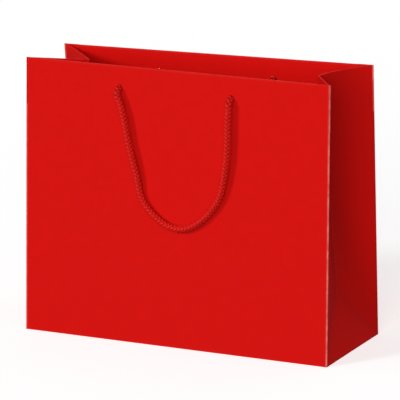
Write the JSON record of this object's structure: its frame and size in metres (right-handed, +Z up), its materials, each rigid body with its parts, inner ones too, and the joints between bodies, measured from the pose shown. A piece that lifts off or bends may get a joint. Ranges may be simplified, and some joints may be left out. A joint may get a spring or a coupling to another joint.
{
  "type": "gift bag",
  "caption": "Rectangular laminated paper gift bag with folding side gussets, a turned-in top edge, a boarded base and a rope handle on each face.",
  "frame": {"origin": "middle of the base, on the surface that the bag stands on", "axes": "+X across the width, +Y from the front face to the back face, +Z up"},
  "size_m": [0.32, 0.1251, 0.2674],
  "materials": {
    "face_paper": "matt laminated paper",
    "turned_paper": "matt laminated paper, folded inside",
    "hem_board": "bare grey board",
    "base_board": "bare grey board",
    "rope": "braided cord"
  },
  "bodies": {
    "base": {"front_bottom_flap": "turned_paper", "back_bottom_flap": "turned_paper", "left_bottom_flap": "turned_paper", "right_bottom_flap": "turned_paper", "base_board": "base_board"},
    "front_panel": {"front_panel": "face_paper", "front_hem_board": "hem_board", "front_turn_in": "turned_paper", "front_left_knot": "rope", "front_right_knot": "rope"},
    "back_panel": {"back_panel": "face_paper", "back_hem_board": "hem_board", "back_turn_in": "turned_paper", "back_left_knot": "rope", "back_right_knot": "rope", "seam_flap": "turned_paper"},
    "left_front_gusset": {"left_front_gusset_half": "face_paper", "left_front_gusset_turn_in": "turned_paper"},
    "left_back_gusset": {"left_back_gusset_half": "face_paper", "left_back_gusset_turn_in": "turned_paper"},
    "left_gusset_foot": {"left_gusset_foot": "face_paper"},
    "right_front_gusset": {"right_front_gusset_half": "face_paper", "right_front_gusset_turn_in": "turned_paper"},
    "right_back_gusset": {"right_back_gusset_half": "face_paper", "right_back_gusset_turn_in": "turned_paper"},
    "right_gusset_foot": {"right_gusset_foot": "face_paper"},
    "front_handle": {"front_rope": "rope"},
    "back_handle": {"back_rope": "rope"}
  },
  "joints": [
    {"name": "front_panel_fold", "type": "hinge", "parent": "base", "child": "front_panel", "pos_m": [0, -0.061, 0.00055], "axis": [-1, 0, 0], "range_deg": [-0.5, 5]},
    {"name": "back_panel_fold", "type": "hinge", "parent": "base", "child": "back_panel", "pos_m": [0, 0.061, 0.00055], "axis": [1, 0, 0], "range_deg": [-0.5, 5]},
    {"name": "left_front_gusset_fold", "type": "hinge", "parent": "front_panel", "child": "left_front_gusset", "pos_m": [-0.1585, -0.05382, 0.13337], "axis": [0, -0.0486, -0.9988], "range_deg": [-2.65, 26.5]},
    {"name": "left_back_gusset_fold", "type": "hinge", "parent": "back_panel", "child": "left_back_gusset", "pos_m": [-0.1585, 0.04515, 0.1327], "axis": [0, -0.1137, 0.9935], "range_deg": [-2.65, 26.5]},
    {"name": "left_foot_fold", "type": "hinge", "parent": "base", "child": "left_gusset_foot", "pos_m": [-0.16, 0, 0.00055], "axis": [0, 1, 0], "range_deg": [-0.95, 9.5]},
    {"name": "right_front_gusset_fold", "type": "hinge", "parent": "front_panel", "child": "right_front_gusset", "pos_m": [0.15908, -0.05629, 0.13347], "axis": [0, 0.03, 0.9995], "range_deg": [-3.25, 32.5]},
    {"name": "right_back_gusset_fold", "type": "hinge", "parent": "back_panel", "child": "right_back_gusset", "pos_m": [0.15908, 0.05402, 0.13342], "axis": [0, 0.0471, -0.9989], "range_deg": [-3.25, 32.5]},
    {"name": "right_foot_fold", "type": "hinge", "parent": "base", "child": "right_gusset_foot", "pos_m": [0.16, 0, 0.00055], "axis": [0, -1, 0], "range_deg": [-1.25, 12.5]},
    {"name": "front_handle_swing", "type": "hinge", "parent": "front_panel", "child": "front_handle", "pos_m": [0, -0.05734, 0.2461], "axis": [-0.9999, 0.0144, -0.0006], "range_deg": [0, 175]},
    {"name": "back_handle_swing", "type": "hinge", "parent": "back_panel", "child": "back_handle", "pos_m": [0, 0.04721, 0.24574], "axis": [0.9987, 0.0515, 0.0042], "range_deg": [0, 175]}
  ],
  "couplings": [
    {"joint": "back_panel_fold", "follows": "front_panel_fold", "ratio": 1},
    {"joint": "left_front_gusset_fold", "follows": "front_panel_fold", "ratio": 5.3},
    {"joint": "left_back_gusset_fold", "follows": "front_panel_fold", "ratio": 5.3},
    {"joint": "left_foot_fold", "follows": "front_panel_fold", "ratio": 1.9},
    {"joint": "right_front_gusset_fold", "follows": "front_panel_fold", "ratio": 6.5},
    {"joint": "right_back_gusset_fold", "follows": "front_panel_fold", "ratio": 6.5},
    {"joint": "right_foot_fold", "follows": "front_panel_fold", "ratio": 2.5}
  ]
}
